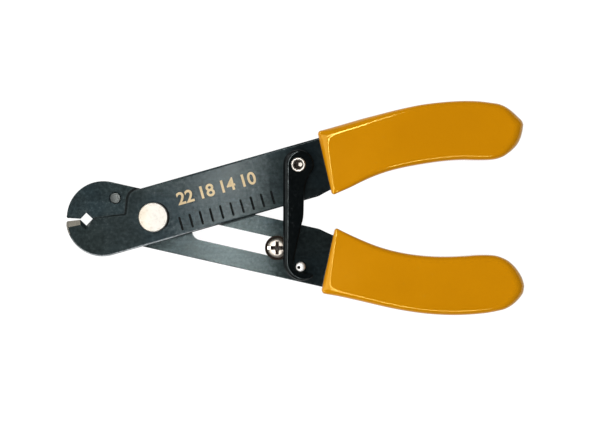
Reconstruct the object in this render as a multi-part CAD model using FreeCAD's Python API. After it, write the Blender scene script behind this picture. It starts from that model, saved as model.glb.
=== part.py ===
import FreeCAD, Part
import math
import os

# Wire stripping pliers, locked shut, lying flat. Millimetres.
# Origin on the pivot axis at the plane the tool lies on, +X to the handles,
# +Y to the upper handle, +Z to the screw-head side.

# ---- driving dimensions -------------------------------------------------
arm_angle = 14.3            # each arm leaves the centre line by this angle
plate_t = 2.2               # thickness of the arm plates
plate_gap = 0.05            # running gap between the plates
z_back = 2.75               # back face of the back arm
outer_off = 8.85            # pivot to the outer edge of an arm
inner_off = 7.10            # pivot to the inner edge of an arm
head_r = 10.4               # round nose of a jaw
head_x = -14.14             # centre of the nose along the arm
edge_x0 = -19.3             # where the two jaw edges cross
edge_slope = 0.085          # slope of a jaw edge
vee_depth = 1.82            # depth of a wire notch below the crossing point
shoulder_r = 3.2            # rounded shoulder behind the jaw
joggle = 1.1                # tangs step to the middle plane by this much
joggle_x0 = 52.6            # the step lies inside the grips
joggle_x1 = 55.6
plate_edge_r = 0.55         # rolled edge of the outside faces
mate_edge_r = 0.2           # rolled edge of the mating faces

rivet_shank_r = 2.5
rivet_head_r = 4.17
rivet_head_h = 1.2
pivot_clear = 0.05

grip_t = 9.95               # thickness of the vinyl grips
grip_edge_r = 2.6
grip_corner_r = 2.9

groove_count = 10
groove_pitch = 3.0
groove_first = 7.0
groove_len = 4.0
groove_from_edge = 1.55
groove_r = 0.32
groove_depth = 0.6

eyelet = (41.46, 13.70)
eyelet_r = 1.7
eyelet_bore_r = 1.28
eyelet_rim_r = 2.08
lock_pin_at = (41.28, -15.21)
lock_pin_r = 1.34
lever_t = 1.5
lever_top_r = 4.3

jaw_pin_at = (-10.94, 5.78)
jaw_pin_r = 1.52
jaw_pin_gap_r = 1.64        # counterbore round the top of the pin
jaw_pin_rim_r = 1.80        # chamfer of that counterbore
jaw_pin_tail_r = 1.2

slot_w = 5.4
slot_x0 = 13.96             # slot ends, along the arm
slot_x1 = 36.6
slot_y = 0.795              # slot line, outward of the pivot
stop_x = 36.09              # place of the stop along the arm
washer_r = 3.5
washer_bore_r = 1.6
washer_t = 0.48
screw_head_r = 2.8
screw_head_h = 1.68
screw_shank_r = 1.45
nut_af = 5.5
nut_h = 1.78

wire_r = 0.325
leg_r = 0.30
coil_r = 3.2

# ---- derived ------------------------------------------------------------
V = FreeCAD.Vector
A = math.radians(arm_angle)
CA, SA = math.cos(A), math.sin(A)
z_bf = z_back + plate_t                 # front face of the back arm
z_f0 = z_bf + plate_gap                 # back face of the front arm
z_f1 = z_f0 + plate_t                   # front face of the front arm
z_mid = 0.5 * (z_bf + z_f0)
UP = V(0, 0, 1)


def loc(x, y):
    """Front arm's own x (along the arm) and y (outward) to the frame."""
    return (x * CA - y * SA, x * SA + y * CA)


def v(p, z=0.0):
    return V(p[0], p[1], z)


def line(p, q):
    return Part.LineSegment(v(p), v(q)).toShape()


def arc(p, m, q):
    return Part.Arc(v(p), v(m), v(q)).toShape()


def spline(pts, t0=None, t1=None):
    c = Part.BSplineCurve()
    if t0 is None:
        c.interpolate([v(p) for p in pts])
    else:
        c.interpolate(Points=[v(p) for p in pts], InitialTangent=v(t0), FinalTangent=v(t1))
    return c.toShape()


def corner(p, c, q, r):
    """Tangent points and middle of a fillet at corner c between lines to p and q."""
    d1 = V(p[0] - c[0], p[1] - c[1], 0)
    d2 = V(q[0] - c[0], q[1] - c[1], 0)
    d1.normalize()
    d2.normalize()
    half = 0.5 * math.acos(max(-1.0, min(1.0, d1.dot(d2))))
    t = r / math.tan(half)
    b = d1 + d2
    b.normalize()
    m = b * (r / math.sin(half) - r)
    return ((c[0] + d1.x * t, c[1] + d1.y * t), (c[0] + m.x, c[1] + m.y),
            (c[0] + d2.x * t, c[1] + d2.y * t))


def meet(p, d, q, e):
    """Crossing of two lines given by point and direction."""
    det = d[0] * (-e[1]) + e[0] * d[1]
    s = ((q[0] - p[0]) * (-e[1]) + e[0] * (q[1] - p[1])) / det
    return (p[0] + s * d[0], p[1] + s * d[1])


def prism(edges, z0, z1):
    w = Part.Wire(Part.__sortEdges__(edges))
    return Part.Face(w).extrude(V(0, 0, z1 - z0)).translated(V(0, 0, z0))


def cyl(r, z0, z1, at=(0, 0)):
    return Part.makeCylinder(r, z1 - z0, V(at[0], at[1], z0), UP)


def tube(r1, r0, z0, z1, at=(0, 0)):
    return cyl(r1, z0, z1, at).cut(cyl(r0, z0 - 1, z1 + 1, at))


def turned(profile, at=(0, 0)):
    """Solid of revolution about Z from (r, z) points."""
    pts = [V(r, 0, z) for r, z in profile]
    f = Part.Face(Part.makePolygon(pts + [pts[0]]))
    return f.revolve(V(0, 0, 0), UP, 360).translated(V(at[0], at[1], 0))


def soften(shape, pick, r):
    """Round the picked edges, as a set first and one by one if that fails."""
    edges = [e for e in shape.Edges if pick(e)]
    try:
        s = shape.makeFillet(r, edges)
        if s.isValid() and s.Volume > 0:
            return s
    except Exception:
        pass
    for e in edges:
        mid = e.valueAt(0.5 * (e.FirstParameter + e.LastParameter))
        for k in shape.Edges:
            if (k.valueAt(0.5 * (k.FirstParameter + k.LastParameter)) - mid).Length < 1e-4:
                try:
                    s = shape.makeFillet(r, [k])
                    if s.isValid() and s.Volume > 0:
                        shape = s
                except Exception:
                    pass
                break
    return shape


def flip(shape):
    """Half a turn about the line along X in the mating plane."""
    return shape.rotated(V(0, 0, z_mid), V(1, 0, 0), 180)


# ---- outline of the front arm, in the locked pose -------------------------
d_arm = (CA, SA)
hc = loc(head_x, head_r - inner_off)
t_in = loc(head_x, -inner_off)


def edge_y(x):
    return edge_slope * (x - edge_x0)


# tip: the jaw edge meets the nose
a_ = 1 + edge_slope ** 2
b_ = 2 * (edge_slope * (edge_y(0) - hc[1]) - hc[0])
c_ = hc[0] ** 2 + (edge_y(0) - hc[1]) ** 2 - head_r ** 2
x_tip = (-b_ - math.sqrt(b_ * b_ - 4 * a_ * c_)) / (2 * a_)
ang_tip = math.atan2(edge_y(x_tip) - hc[1], x_tip - hc[0])
ang_end = ang_tip + 0.055
ang_in = math.atan2(t_in[1] - hc[1], t_in[0] - hc[0])
if ang_in < 0:
    ang_in += 2 * math.pi
if ang_end < 0:
    ang_end += 2 * math.pi


def on_nose(a):
    return (hc[0] + head_r * math.cos(a), hc[1] + head_r * math.sin(a))


nose_end = on_nose(ang_end)
tip_line = (x_tip + 0.6, edge_y(x_tip + 0.6))
tip_mid = (x_tip + 0.13, edge_y(x_tip + 0.13) - 0.09)

dl = vee_depth / (1 + edge_slope)
dr = vee_depth / (1 - edge_slope)
vl = (edge_x0 - dl, edge_y(edge_x0 - dl))
va = (edge_x0, -vee_depth)
vr = (edge_x0 + dr, edge_y(edge_x0 + dr))

sh0 = (-7.75, edge_y(-7.75))
sh_dir = (0.13, 1.0)
sh1 = meet(sh0, sh_dir, loc(0, outer_off), d_arm)
f1 = corner(vr, sh0, sh1, 0.5)
o_far = loc(64.3, outer_off)
f2 = corner(sh0, sh1, o_far, shoulder_r)

i_far = loc(46.0, -inner_off)
tang_pts = [o_far, (66.0, 25.85), (70.0, 26.65), (75.0, 27.45), (80.0, 28.0), (86.0, 28.35),
            (91.0, 28.2), (95.5, 27.45), (99.0, 25.9), (101.4, 23.6), (101.7, 21.2),
            (100.2, 18.6), (97.6, 16.6), (94.0, 15.7), (89.0, 15.55), (84.0, 15.45),
            (79.0, 15.1), (74.0, 14.45), (69.0, 13.4), (64.0, 11.95), (59.0, 10.1),
            (54.0, 8.05), (50.3, 6.35), (48.0, 5.2), i_far]


def outline():
    es = [line(i_far, t_in)]
    es.append(arc(t_in, on_nose(0.5 * (ang_in + ang_end)), nose_end))
    es.append(arc(nose_end, tip_mid, tip_line))
    es.append(line(tip_line, vl))
    es.append(line(vl, va))
    es.append(line(va, vr))
    es.append(line(vr, f1[0]))
    es.append(arc(*f1))
    es.append(line(f1[2], f2[0]))
    es.append(arc(*f2))
    es.append(line(f2[2], o_far))
    es.append(spline(tang_pts, d_arm, (-CA, -SA)))
    return es


def plate():
    """Front arm blank: flat plate with the tang stepped towards the middle."""
    flat = prism(outline(), z_f0, z_f1)

    def rolled(e, z):
        m = e.valueAt(0.5 * (e.FirstParameter + e.LastParameter))
        if abs(m.z - z) > 1e-6 or e.Length < 1.2 or m.x > 60:
            return False
        jaw = -24.6 < m.x < -7.0 and abs(m.y - edge_y(m.x)) < 2.2
        shoulder = -8.5 < m.x < -1.5 and m.y > 0.5
        return not jaw and not shoulder
    flat = soften(flat, lambda e: rolled(e, z_f1), plate_edge_r)
    flat = soften(flat, lambda e: rolled(e, z_f0), mate_edge_r)
    flat = flat.common(Part.makeBox(200, 200, 40, V(-200 + joggle_x0, -100, -10)))
    tall = prism(outline(), z_f0 - 6, z_f1 + 6)
    pts = [(joggle_x0, z_f0), (joggle_x0, z_f1), (joggle_x1, z_f1 - joggle), (150, z_f1 - joggle),
           (150, z_f0 - joggle), (joggle_x1, z_f0 - joggle)]
    poly = [V(x, -100, z) for x, z in pts]
    sheet = Part.Face(Part.makePolygon(poly + [poly[0]])).extrude(V(0, 200, 0))
    tang = tall.common(sheet)
    s = flat.fuse(tang)
    # ground bevel along the jaw edge, on the outside face of the plate
    pa, pb, pc = V(-24.9, -2.3, z_f1), V(-8.0, 0.72, z_f1), V(-24.9, edge_y(-24.9), z_f0 + 0.3)
    n = (pb - pa).cross(pc - pa)
    n.normalize()
    if n.z < 0:
        n = n * -1
    u = pb - pa
    u.normalize()
    w = n.cross(u)
    start = pa - u * 6 - w * 12
    c1, c2, c3, c4 = start, start + u * 40, start + u * 40 + w * 24, start + w * 24
    wedge = Part.Face(Part.makePolygon([c1, c2, c3, c4, c1])).extrude(n * 12)
    wedge = wedge.common(Part.makeBox(20, 6.5, 10, V(edge_x0 - 20, -4.0, z_f0 - 0.5)))
    s = s.cut(wedge)

    # ground flanks of the wire notch
    def tri(apex, top, z):
        h = top - apex
        ps = [V(edge_x0, apex, z), V(edge_x0 + h, top, z), V(edge_x0 - h, top, z)]
        return Part.makePolygon(ps + [ps[0]])
    notch = Part.makeLoft([tri(-vee_depth, 2.0, z_f0 + 0.55), tri(-vee_depth - 1.2, 2.0, z_f1 + 0.01)], True, True)
    notch = notch.common(Part.makeBox(7.0, 5.2, 6, V(edge_x0 - 3.5, -4.0, z_f0)))
    s = s.cut(notch)
    s = s.cut(cyl(rivet_shank_r + pivot_clear, -5, 20))
    return s.removeSplitter()


blank = plate()

# ---- front arm ------------------------------------------------------------
front_arm = blank.cut(cyl(eyelet_r, 0, 12, eyelet))
for i in range(groove_count):
    x = groove_first + i * groove_pitch
    y0 = -inner_off + groove_from_edge
    p = loc(x, y0)
    q = loc(x, y0 + groove_len - 2 * groove_r)
    side = (CA * groove_r, SA * groove_r)
    along = (-SA * groove_r, CA * groove_r)
    p1, p2 = (p[0] - side[0], p[1] - side[1]), (p[0] + side[0], p[1] + side[1])
    q1, q2 = (q[0] - side[0], q[1] - side[1]), (q[0] + side[0], q[1] + side[1])
    g = prism([line(p1, q1), arc(q1, (q[0] + along[0], q[1] + along[1]), q2), line(q2, p2),
               arc(p2, (p[0] - along[0], p[1] - along[1]), p1)], z_f1 - groove_depth, z_f1 + 1)
    front_arm = front_arm.cut(g)

# ---- back arm ---------------------------------------------------------------
back_arm = flip(blank)


def bloc(x, y):
    p = loc(x, y)
    return (p[0], -p[1])


stop_at = bloc(stop_x, slot_y)
sa, sb = bloc(slot_x0, slot_y), bloc(slot_x1, slot_y)
nx, ny = -SA * slot_w / 2, -CA * slot_w / 2
slot = prism([line((sa[0] + nx, sa[1] + ny), (sb[0] + nx, sb[1] + ny)),
              line((sa[0] - nx, sa[1] - ny), (sb[0] - nx, sb[1] - ny)),
              arc((sa[0] + nx, sa[1] + ny), (sa[0] - CA * slot_w / 2, sa[1] + SA * slot_w / 2), (sa[0] - nx, sa[1] - ny)),
              arc((sb[0] + nx, sb[1] + ny), (sb[0] + CA * slot_w / 2, sb[1] - SA * slot_w / 2), (sb[0] - nx, sb[1] - ny))],
             -2, 12)
back_arm = back_arm.cut(slot)
back_arm = back_arm.cut(cyl(jaw_pin_r, -2, 12, jaw_pin_at))
back_arm = back_arm.cut(cyl(jaw_pin_gap_r, z_bf - 0.8, z_bf + 1, jaw_pin_at))
rim_h = jaw_pin_rim_r - jaw_pin_gap_r
ring = Part.makeCone(jaw_pin_gap_r, jaw_pin_rim_r, rim_h, V(jaw_pin_at[0], jaw_pin_at[1], z_bf - rim_h), UP)
back_arm = back_arm.cut(ring)
back_arm = back_arm.cut(cyl(1.2, -2, 12, lock_pin_at))

# ---- grips ------------------------------------------------------------------
gf0, gf1 = (47.45, 22.45), (51.45, 5.2)
grip_pts = [gf0, (52.0, 23.95), (56.0, 25.0), (60.0, 26.03), (64.0, 27.05), (68.0, 28.0), (72.0, 28.8),
            (76.0, 29.43), (80.0, 29.86), (84.0, 30.15), (88.0, 30.25), (92.0, 30.05), (96.0, 29.45),
            (99.0, 28.55), (101.6, 27.1), (103.6, 25.2), (104.8, 22.9), (104.6, 20.4), (103.2, 17.9),
            (101.2, 15.9), (98.8, 14.5), (96.0, 13.85), (92.0, 13.68), (88.0, 13.68), (84.0, 13.6),
            (80.0, 13.36), (76.0, 12.95), (72.0, 12.32), (68.0, 11.42), (64.0, 10.2), (60.0, 8.65),
            (56.0, 6.85), (53.6, 5.75), gf1]


def grip_body():
    g = prism([line(gf0, gf1), spline(grip_pts)], z_mid - grip_t / 2, z_mid + grip_t / 2)

    def upright(e):
        a, b = e.Vertexes[0].Point, e.Vertexes[-1].Point
        return abs(a.x - b.x) < 1e-6 and abs(a.y - b.y) < 1e-6 and abs(a.z - b.z) > 1
    g = soften(g, upright, grip_corner_r)

    def rim(e):
        zs = [q.Point.z for q in e.Vertexes]
        return all(abs(z - zs[0]) < 1e-6 for z in zs) and (abs(zs[0] - (z_mid - grip_t / 2)) < 1e-6 or abs(zs[0] - (z_mid + grip_t / 2)) < 1e-6)
    return soften(g, rim, grip_edge_r)


grip_blank = grip_body()
upper_grip = grip_blank.cut(front_arm)
lower_grip = flip(grip_blank).cut(back_arm)

# ---- pivot --------------------------------------------------------------------
tail_h = 0.8
pw_t = 0.4
z_h0 = z_f1 + 0.02
rivet_prof = [(0, 0), (3.7, 0), (3.9, 0.07), (4.05, 0.21), (4.1, 0.4), (4.1, tail_h), (rivet_shank_r, tail_h), (rivet_shank_r, z_h0),
              (rivet_head_r, z_h0)]
for k in range(7):
    t = math.radians(15 * k)
    rivet_prof.append((rivet_head_r - 0.34 * (1 - math.cos(t)), z_h0 + rivet_head_h - 0.34 * (1 - math.sin(t))))
pivot_rivet = turned(rivet_prof + [(0, z_h0 + rivet_head_h)])
pivot_washer = tube(4.3, rivet_shank_r + 0.02, tail_h, tail_h + pw_t)

# ---- lock lever -----------------------------------------------------------------
z_s1 = z_f1 + 0.24
z_l0 = z_s1 + 0.02
z_l1 = z_l0 + lever_t
ex, ey = eyelet
lt = (ex - lever_top_r * math.cos(math.radians(1.8)), ey + lever_top_r * math.sin(math.radians(1.8)))
rt_a = math.radians(-18.0)
rt = (ex + lever_top_r * math.cos(rt_a), ey + lever_top_r * math.sin(rt_a))
lever_right = [rt, (44.25, 10.4), (43.2, 7.6), (42.75, 3.5), (42.45, -1.0), (41.7, -3.9), (40.75, -7.6), (39.95, -10.8), (39.5, -12.7)]
throat = [(39.5, -12.7), (39.42, -14.2), (39.6, -15.5), (40.2, -16.35), (41.2, -16.75), (42.6, -16.98), (44.2, -17.42)]
toe = [(44.2, -17.42), (44.66, -17.62), (44.55, -18.05)]
heel = [(44.55, -18.05), (43.3, -18.78), (41.3, -19.02), (39.4, -18.47), (37.8, -17.25), (36.85, -15.85), (36.42, -14.4), (36.33, -13.0)]
lever_blank = prism([arc(rt, (ex, ey + lever_top_r), lt), line(lt, heel[-1]), spline(heel), arc(*toe),
                     spline(throat), spline(lever_right)], z_l0, z_l1)


def lever_top(e):
    m = e.valueAt(0.5 * (e.FirstParameter + e.LastParameter))
    return abs(m.z - z_l1) < 1e-6 and e.Length > 3


lock_lever = soften(lever_blank, lever_top, 0.6)
lock_lever = lock_lever.cut(cyl(eyelet_r + 0.05, 0, 20, eyelet))

lever_spacer_washer = tube(3.3, eyelet_r + 0.02, z_f1, z_s1, eyelet)
z_e0 = z_l1 + 0.02
spring_hole_r = 0.42
eyelet_prof = [(spring_hole_r, z_f0 - 0.45), (eyelet_rim_r + 0.2, z_f0 - 0.45), (eyelet_rim_r + 0.2, z_f0), (eyelet_r, z_f0),
               (eyelet_r, z_e0)]
roll_c, roll_w = 0.5 * (eyelet_rim_r + eyelet_bore_r), 0.5 * (eyelet_rim_r - eyelet_bore_r)
for k in range(11):
    t = math.pi * k / 10
    eyelet_prof.append((roll_c + roll_w * math.cos(t), z_e0 + 0.42 * math.sin(t)))
# the rolled bore is blind; the spring's end sits in a small hole from the back
eyelet_prof += [(eyelet_bore_r, z_f1 - 0.15), (0, z_f1 - 0.45), (0, z_f0 + 1.1), (spring_hole_r, z_f0 + 1.1)]
lever_rivet = turned(eyelet_prof, eyelet)

# ---- pins --------------------------------------------------------------------------
pin_top = z_l1 + 0.36
prof = [(0, z_back - 0.6), (1.5, z_back - 0.6), (1.8, z_back - 0.35), (1.8, z_back), (1.2, z_back), (1.2, z_bf),
        (lock_pin_r, z_bf), (lock_pin_r, pin_top - 0.7)]
for k in range(1, 10):
    t = k / 9.0 * math.pi / 2
    prof.append((lock_pin_r * math.cos(t) if k < 9 else 0.0, pin_top - 0.7 + 0.7 * math.sin(t)))
lock_pin = turned(prof, lock_pin_at)
# small pit left by the riveting punch
pip = V(lock_pin_at[0] - 0.42, lock_pin_at[1] - 0.17, pin_top - 0.75)
lock_pin = lock_pin.cut(Part.makeCone(0.34, 0.46, 0.9, pip, UP))
pin_prof = [(0, z_back - 1.05), (jaw_pin_tail_r - 0.2, z_back - 1.05), (jaw_pin_tail_r, z_back - 0.85), (jaw_pin_tail_r, z_back),
            (jaw_pin_r, z_back)]
for k in range(5):
    t = math.radians(22.5 * k)
    pin_prof.append((jaw_pin_r - 0.22 * (1 - math.cos(t)), z_bf - 0.06 - 0.22 * (1 - math.sin(t))))
jaw_pin = turned(pin_prof + [(0.8, z_bf - 0.03), (0, z_bf - 0.02)], jaw_pin_at)

# ---- adjustable stop -----------------------------------------------------------------
z_w0 = z_bf + 0.02
z_w1 = z_w0 + washer_t
z_sh = z_w1 + 0.02
z_top = z_sh + screw_head_h
stop_front_washer = tube(washer_r, washer_bore_r, z_w0, z_w1, stop_at)
stop_bush = tube(slot_w / 2 - 0.05, screw_shank_r + 0.05, z_back + 0.02, z_bf - 0.02, stop_at)
stop_back_washer = tube(washer_r, washer_bore_r, z_back - 0.02 - washer_t, z_back - 0.02, stop_at)
z_n1 = z_back - 0.04 - washer_t
z_n0 = z_n1 - nut_h
hexr = nut_af / math.sqrt(3.0)
hexp = [V(stop_at[0] + hexr * math.cos(math.radians(60 * k - arm_angle)), stop_at[1] + hexr * math.sin(math.radians(60 * k - arm_angle)), z_n0) for k in range(6)]
stop_nut = Part.Face(Part.makePolygon(hexp + [hexp[0]])).extrude(V(0, 0, nut_h))
cone = turned([(0, z_n0), (2.55, z_n0), (3.6, z_n0 + 0.6), (3.6, z_n1), (0, z_n1)], stop_at)
stop_nut = stop_nut.common(cone).cut(cyl(screw_shank_r + 0.05, -2, 12, stop_at))

screw_prof = [(0, 0.2), (screw_shank_r - 0.25, 0.2), (screw_shank_r, 0.45), (screw_shank_r, z_sh), (screw_head_r - 0.06, z_sh),
              (screw_head_r, z_sh + 0.08), (screw_head_r, z_sh + 0.6)]
for k in range(1, 9):
    t = math.radians(11.25 * k)
    screw_prof.append((screw_head_r - 1.25 * (1 - math.cos(t)), z_sh + 0.6 + 0.98 * math.sin(t)))
stop_screw = turned(screw_prof + [(0, z_top)], stop_at)
rec = V(stop_at[0], stop_at[1], 0)
drive = Part.makeBox(2 * screw_head_r + 1, 0.92, 2, V(-screw_head_r - 0.5, -0.46, z_top - 0.92))
for turn in (0, 90):
    bar = Part.makeBox(3.8, 1.0, 3, V(-1.9, -0.5, z_top - 1.32))
    drive = drive.fuse(bar.rotated(V(0, 0, 0), UP, turn))
stop_screw = stop_screw.cut(drive.rotated(V(0, 0, 0), UP, -2).translated(rec)).removeSplitter()

# ---- return spring ---------------------------------------------------------------------
z_a = z_back - 0.05 - wire_r
z_b = z_a - 1.9 * wire_r            # the two turns touch
jr, ja = math.hypot(*jaw_pin_at), math.atan2(jaw_pin_at[1], jaw_pin_at[0])
off = jaw_pin_tail_r + wire_r + 0.05
da = ja + math.asin((off - coil_r) / jr)
dA = (math.cos(da), math.sin(da))
nA = (math.sin(da), -math.cos(da))
pA = (-coil_r * nA[0], -coil_r * nA[1])
thA = math.atan2(pA[1], pA[0])
legA_len = jr * math.cos(da - ja) + 2.6
er, ea = math.hypot(*eyelet), math.atan2(ey, ex)
thB = ea - math.acos(coil_r / er)
pB = (coil_r * math.cos(thB), coil_r * math.sin(thB))


def rod(p, q, r):
    d = q - p
    return Part.makeCylinder(r, d.Length, p, d)


coil = Part.makeTorus(coil_r, wire_r, V(0, 0, z_a)).fuse(Part.makeTorus(coil_r, wire_r, V(0, 0, z_b)))
a0 = V(pA[0] + dA[0] * legA_len, pA[1] + dA[1] * legA_len, z_a)
a1 = V(pA[0], pA[1], z_a)
b0 = V(pB[0], pB[1], z_b)
b1 = V(ex, ey, z_b)
b2 = V(ex, ey, z_f0 + 0.95)
lap = 0.0
u_b = V(-math.sin(thB), math.cos(thB), 0)
leg_a = rod(a0, a1 - V(dA[0], dA[1], 0) * lap, leg_r)
leg_b = rod(b0 - u_b * lap, b1 + u_b * leg_r, leg_r)
hook = rod(b1, b2, leg_r - 0.03)
return_spring = coil.fuse(leg_a).fuse(leg_b).fuse(hook)
return_spring = return_spring.removeSplitter()

# ---- export ---------------------------------------------------------------------------
NODES = {
    "front_arm": front_arm,
    "back_arm": back_arm,
    "upper_grip": upper_grip,
    "lower_grip": lower_grip,
    "pivot_rivet": pivot_rivet,
    "pivot_washer": pivot_washer,
    "return_spring": return_spring,
    "lock_lever": lock_lever,
    "lever_rivet": lever_rivet,
    "lever_spacer_washer": lever_spacer_washer,
    "lock_pin": lock_pin,
    "jaw_pin": jaw_pin,
    "stop_screw": stop_screw,
    "stop_front_washer": stop_front_washer,
    "stop_bush": stop_bush,
    "stop_back_washer": stop_back_washer,
    "stop_nut": stop_nut,
}
os.makedirs("parts", exist_ok=True)
for name, shape in NODES.items():
    solids = shape.Solids
    body = solids[0] if len(solids) == 1 else shape
    print(name, len(solids), body.isValid(), round(body.Volume, 2), [round(c, 2) for c in (body.BoundBox.XMin, body.BoundBox.XMax, body.BoundBox.YMin, body.BoundBox.YMax, body.BoundBox.ZMin, body.BoundBox.ZMax)])
    body.exportStep("parts/" + name + ".step")
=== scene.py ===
import math

import bmesh
import bpy
import numpy as np
from mathutils import Matrix, Vector, noise


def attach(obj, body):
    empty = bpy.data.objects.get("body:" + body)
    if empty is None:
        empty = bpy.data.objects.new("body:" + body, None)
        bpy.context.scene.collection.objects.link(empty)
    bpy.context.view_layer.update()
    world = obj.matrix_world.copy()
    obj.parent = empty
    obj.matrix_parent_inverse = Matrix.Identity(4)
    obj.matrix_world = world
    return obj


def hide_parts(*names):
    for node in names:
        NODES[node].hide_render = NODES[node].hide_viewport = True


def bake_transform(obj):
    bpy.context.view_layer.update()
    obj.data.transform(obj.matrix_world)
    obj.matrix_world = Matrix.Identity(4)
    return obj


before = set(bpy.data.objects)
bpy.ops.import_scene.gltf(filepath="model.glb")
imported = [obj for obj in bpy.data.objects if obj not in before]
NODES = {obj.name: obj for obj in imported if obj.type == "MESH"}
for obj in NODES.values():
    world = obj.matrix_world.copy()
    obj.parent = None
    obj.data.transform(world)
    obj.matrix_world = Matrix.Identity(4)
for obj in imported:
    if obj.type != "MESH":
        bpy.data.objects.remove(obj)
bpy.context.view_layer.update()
MM = 0.001

# sizes that the looks share with the construction, in millimetres
ARM = math.radians(14.3)
CA, SA = math.cos(ARM), math.sin(ARM)
Z_BACK, Z_BF, Z_F0, Z_F1 = 2.75, 4.95, 5.0, 7.2
Z_MID = 4.975


def arm_point(x, y):
    """Front arm's own x (along) and y (outward) to the frame, in millimetres."""
    return (x * CA - y * SA, x * SA + y * CA)


# --------------------------------------------------------------------------
# materials
# --------------------------------------------------------------------------
class Nodes:
    """Small helper that wires a node material."""

    def __init__(self, name):
        self.mat = bpy.data.materials.new(name)
        self.mat.use_nodes = True
        self.nt = self.mat.node_tree
        self.nt.nodes.clear()
        self.out = self.new("ShaderNodeOutputMaterial")
        self.bsdf = self.new("ShaderNodeBsdfPrincipled")
        self.link(self.bsdf.outputs[0], self.out.inputs[0])
        self.coord = self.new("ShaderNodeTexCoord")

    def new(self, kind, **kw):
        n = self.nt.nodes.new(kind)
        for k, val in kw.items():
            setattr(n, k, val)
        return n

    def link(self, a, b):
        self.nt.links.new(a, b)

    def mapping(self, scale=(1, 1, 1), rot=(0, 0, 0), loc=(0, 0, 0)):
        m = self.new("ShaderNodeMapping")
        m.inputs["Scale"].default_value = scale
        m.inputs["Rotation"].default_value = rot
        m.inputs["Location"].default_value = loc
        self.link(self.coord.outputs["Object"], m.inputs["Vector"])
        return m.outputs[0]

    def noise(self, vec, scale, detail=4.0, rough=0.55, distort=0.0):
        n = self.new("ShaderNodeTexNoise")
        n.inputs["Scale"].default_value = scale
        n.inputs["Detail"].default_value = detail
        n.inputs["Roughness"].default_value = rough
        n.inputs["Distortion"].default_value = distort
        self.link(vec, n.inputs["Vector"])
        return n.outputs["Fac"]

    def ramp(self, fac, stops):
        r = self.new("ShaderNodeValToRGB")
        els = r.color_ramp.elements
        while len(els) > 1:
            els.remove(els[-1])
        els[0].position = stops[0][0]
        els[0].color = (*stops[0][1], 1)
        for p, c in stops[1:]:
            e = els.new(p)
            e.color = (*c, 1)
        self.link(fac, r.inputs[0])
        return r.outputs[0]

    def span(self, fac, lo, hi, a=0.0, b=1.0):
        m = self.new("ShaderNodeMapRange")
        m.inputs["From Min"].default_value = a
        m.inputs["From Max"].default_value = b
        m.inputs["To Min"].default_value = lo
        m.inputs["To Max"].default_value = hi
        self.link(fac, m.inputs["Value"])
        return m.outputs[0]

    def mix(self, fac, a, b, mode="MIX"):
        m = self.new("ShaderNodeMix", data_type="RGBA", blend_type=mode)
        if isinstance(fac, float):
            m.inputs[0].default_value = fac
        else:
            self.link(fac, m.inputs[0])
        for sock, val in ((m.inputs[6], a), (m.inputs[7], b)):
            if isinstance(val, tuple):
                sock.default_value = (*val, 1)
            else:
                self.link(val, sock)
        return m.outputs[2]

    def math(self, op, a, b=None):
        m = self.new("ShaderNodeMath", operation=op)
        for sock, val in zip(m.inputs, (a, b)):
            if val is None:
                continue
            if isinstance(val, (int, float)):
                sock.default_value = val
            else:
                self.link(val, sock)
        return m.outputs[0]

    def bump(self, height, strength, distance, normal=None):
        b = self.new("ShaderNodeBump")
        if isinstance(strength, float):
            b.inputs["Strength"].default_value = strength
        else:
            self.link(strength, b.inputs["Strength"])
        b.inputs["Distance"].default_value = distance
        self.link(height, b.inputs["Height"])
        if normal is not None:
            self.link(normal, b.inputs["Normal"])
        return b.outputs[0]

    def parts(self, vec):
        s = self.new("ShaderNodeSeparateXYZ")
        self.link(vec, s.inputs[0])
        return s.outputs

    def soft(self, fac, lo, hi, a, b):
        m = self.new("ShaderNodeMapRange", interpolation_type="SMOOTHSTEP")
        m.inputs["From Min"].default_value = a
        m.inputs["From Max"].default_value = b
        m.inputs["To Min"].default_value = lo
        m.inputs["To Max"].default_value = hi
        self.link(fac, m.inputs["Value"])
        return m.outputs[0]

    def normal_z(self):
        g = self.new("ShaderNodeNewGeometry")
        return self.math("ABSOLUTE", self.parts(g.outputs["Normal"])[2])

    def side(self):
        """1 on edges and walls of a flat plate, 0 on its two faces."""
        return self.span(self.normal_z(), 1.0, 0.0, 0.55, 0.985)

    def set(self, **kw):
        for k, val in kw.items():
            sock = self.bsdf.inputs[k.replace("_", " ")]
            if isinstance(val, (int, float)):
                sock.default_value = val
            elif isinstance(val, tuple):
                sock.default_value = (*val, 1) if len(val) == 3 and sock.type == "RGBA" else val
            else:
                self.link(val, sock)


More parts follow.
